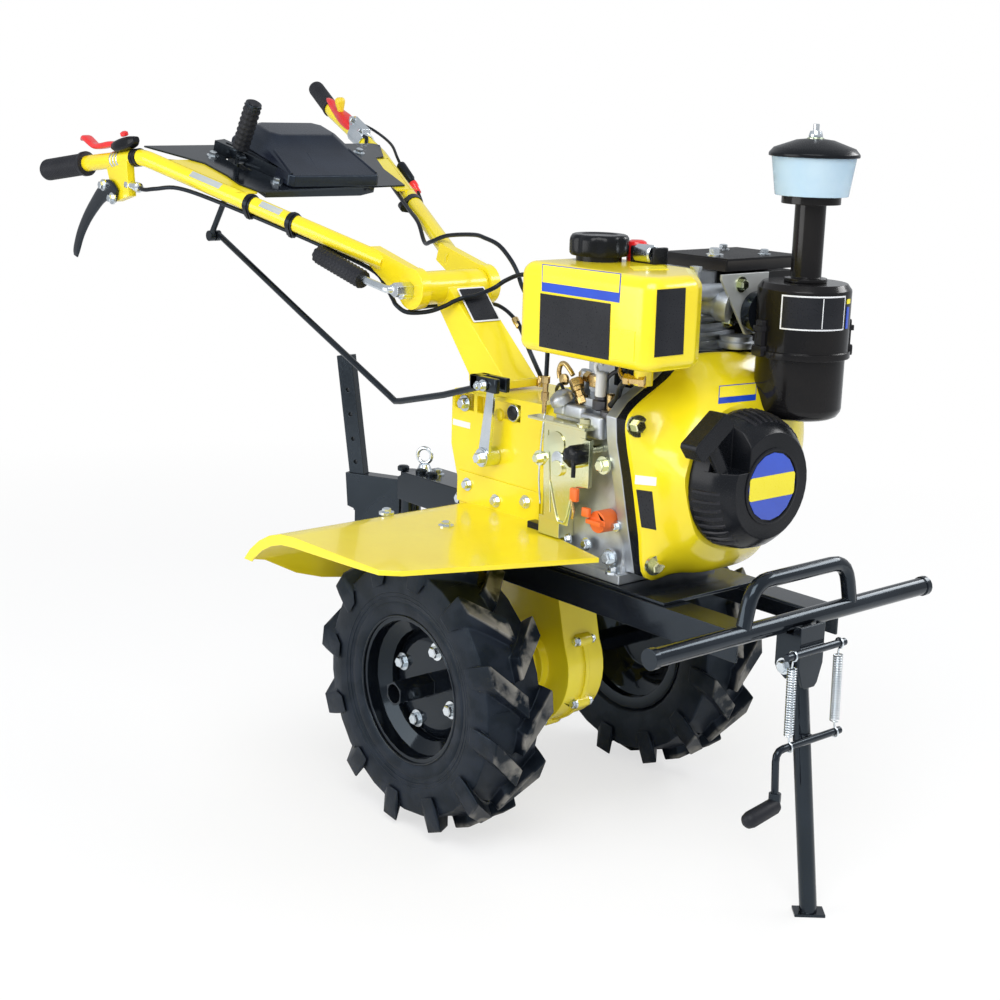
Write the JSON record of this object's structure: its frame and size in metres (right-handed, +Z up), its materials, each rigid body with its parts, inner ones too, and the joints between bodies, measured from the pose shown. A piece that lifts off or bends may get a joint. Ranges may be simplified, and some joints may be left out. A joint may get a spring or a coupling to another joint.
{
  "type": "two-wheel inter-row cultivator",
  "caption": "Walk-behind diesel tiller on lugged tyres, with a folding front stand, height-adjustable handlebars, gear lever, side mudguards and a rear hitch carrying a sliding depth stake.",
  "frame": {"origin": "centre of the bounding box footprint, on the ground", "axes": "+X forward to the bumper, +Y to the machine's left, +Z up"},
  "size_m": [1.5928, 0.8, 1.0348],
  "materials": {
    "yellow_paint": "gloss enamel",
    "black_paint": "gloss enamel",
    "rim_paint": "gloss enamel",
    "tyre_rubber": "moulded tread",
    "grip_rubber": "ribbed",
    "cast_alloy": "sand cast",
    "zinc_steel": "zinc plated",
    "passivated_steel": "yellow passivated",
    "dark_steel": "oiled",
    "muffler_steel": "matt heat paint",
    "black_plastic": "moulded",
    "red_plastic": "moulded",
    "orange_plastic": "moulded",
    "cable_sheath": "smooth",
    "clear_plastic": "translucent"
  },
  "bodies": {
    "chassis": {"gearbox_case": "yellow_paint", "final_drive_case": "yellow_paint", "frame_rail_left": "black_paint", "frame_rail_right": "black_paint", "engine_plate": "black_paint", "front_bumper": "black_paint", "stand_bracket": "black_paint", "engine_block": "cast_alloy", "cylinder_head": "cast_alloy", "shroud_seal": "black_paint", "fan_shroud": "yellow_paint", "recoil_starter": "black_plastic", "starter_grip": "black_plastic", "tank_bracket": "black_paint", "fuel_tank": "yellow_paint", "fuel_cap": "black_plastic", "air_cleaner": "black_paint", "intake_stack": "black_paint", "precleaner_bowl": "clear_plastic", "precleaner_lid": "black_plastic", "muffler": "muffler_steel", "muffler_shield": "black_paint", "intake_bracket": "zinc_steel", "governor_plate": "passivated_steel", "injection_pump": "cast_alloy", "oil_cap": "orange_plastic", "mudguard_left": "yellow_paint", "mudguard_right": "yellow_paint", "hitch_block": "black_paint", "stake_holder": "black_paint", "lifting_eye": "zinc_steel", "column": "yellow_paint", "shift_arm": "dark_steel", "control_cables": "cable_sheath"},
    "wheels": {"axle_shaft": "dark_steel", "rim_left": "rim_paint", "rim_right": "rim_paint", "tyre_left": "tyre_rubber", "tyre_right": "tyre_rubber"},
    "stand": {"stand_leg": "black_paint"},
    "stand_springs": {"stand_spring_left": "zinc_steel", "stand_spring_right": "zinc_steel"},
    "handlebars": {"handlebar_left": "yellow_paint", "handlebar_right": "yellow_paint", "grip_left": "grip_rubber", "grip_right": "grip_rubber", "control_panel": "black_plastic", "panel_cover": "black_plastic", "lever_gate": "black_paint", "gear_lever": "black_paint", "clamp_handle": "zinc_steel", "clutch_lever": "black_paint", "throttle_mount_right": "black_plastic", "throttle_lever_right": "red_plastic", "throttle_mount_left": "zinc_steel", "throttle_lever_left": "red_plastic", "clutch_cable_upper": "cable_sheath", "throttle_cable_upper": "cable_sheath"},
    "gear_linkage": {"gear_rod": "black_paint"},
    "depth_stake_body": {"depth_stake": "black_paint"}
  },
  "joints": [
    {"name": "wheels_spin", "type": "hinge", "parent": "chassis", "child": "wheels", "pos_m": [0.25149, 0, 0.207], "axis": [0, 1, 0], "continuous": true},
    {"name": "stand_fold", "type": "hinge", "parent": "chassis", "child": "stand", "pos_m": [0.73049, 0, 0.333], "axis": [0, 1, 0], "range_deg": [0, 80]},
    {"name": "stand_spring_swing", "type": "hinge", "parent": "chassis", "child": "stand_springs", "pos_m": [0.75649, 0, 0.356], "axis": [0, 1, 0], "range_deg": [0, 70]},
    {"name": "handlebar_tilt", "type": "hinge", "parent": "chassis", "child": "handlebars", "pos_m": [0.02549, 0, 0.735], "axis": [0, 1, 0], "range_deg": [-12, 12]},
    {"name": "gear_rod_swing", "type": "hinge", "parent": "chassis", "child": "gear_linkage", "pos_m": [0.22049, -0.09, 0.621], "axis": [0, 1, 0], "range_deg": [-12, 12]},
    {"name": "depth_slide", "type": "slide", "parent": "chassis", "child": "depth_stake_body", "axis": [-0.124, -0.0552, 0.9907], "range_m": [-0.18, 0]}
  ],
  "couplings": [
    {"joint": "gear_rod_swing", "follows": "handlebar_tilt", "ratio": 0.735},
    {"joint": "stand_spring_swing", "follows": "stand_fold", "ratio": 0.8}
  ]
}
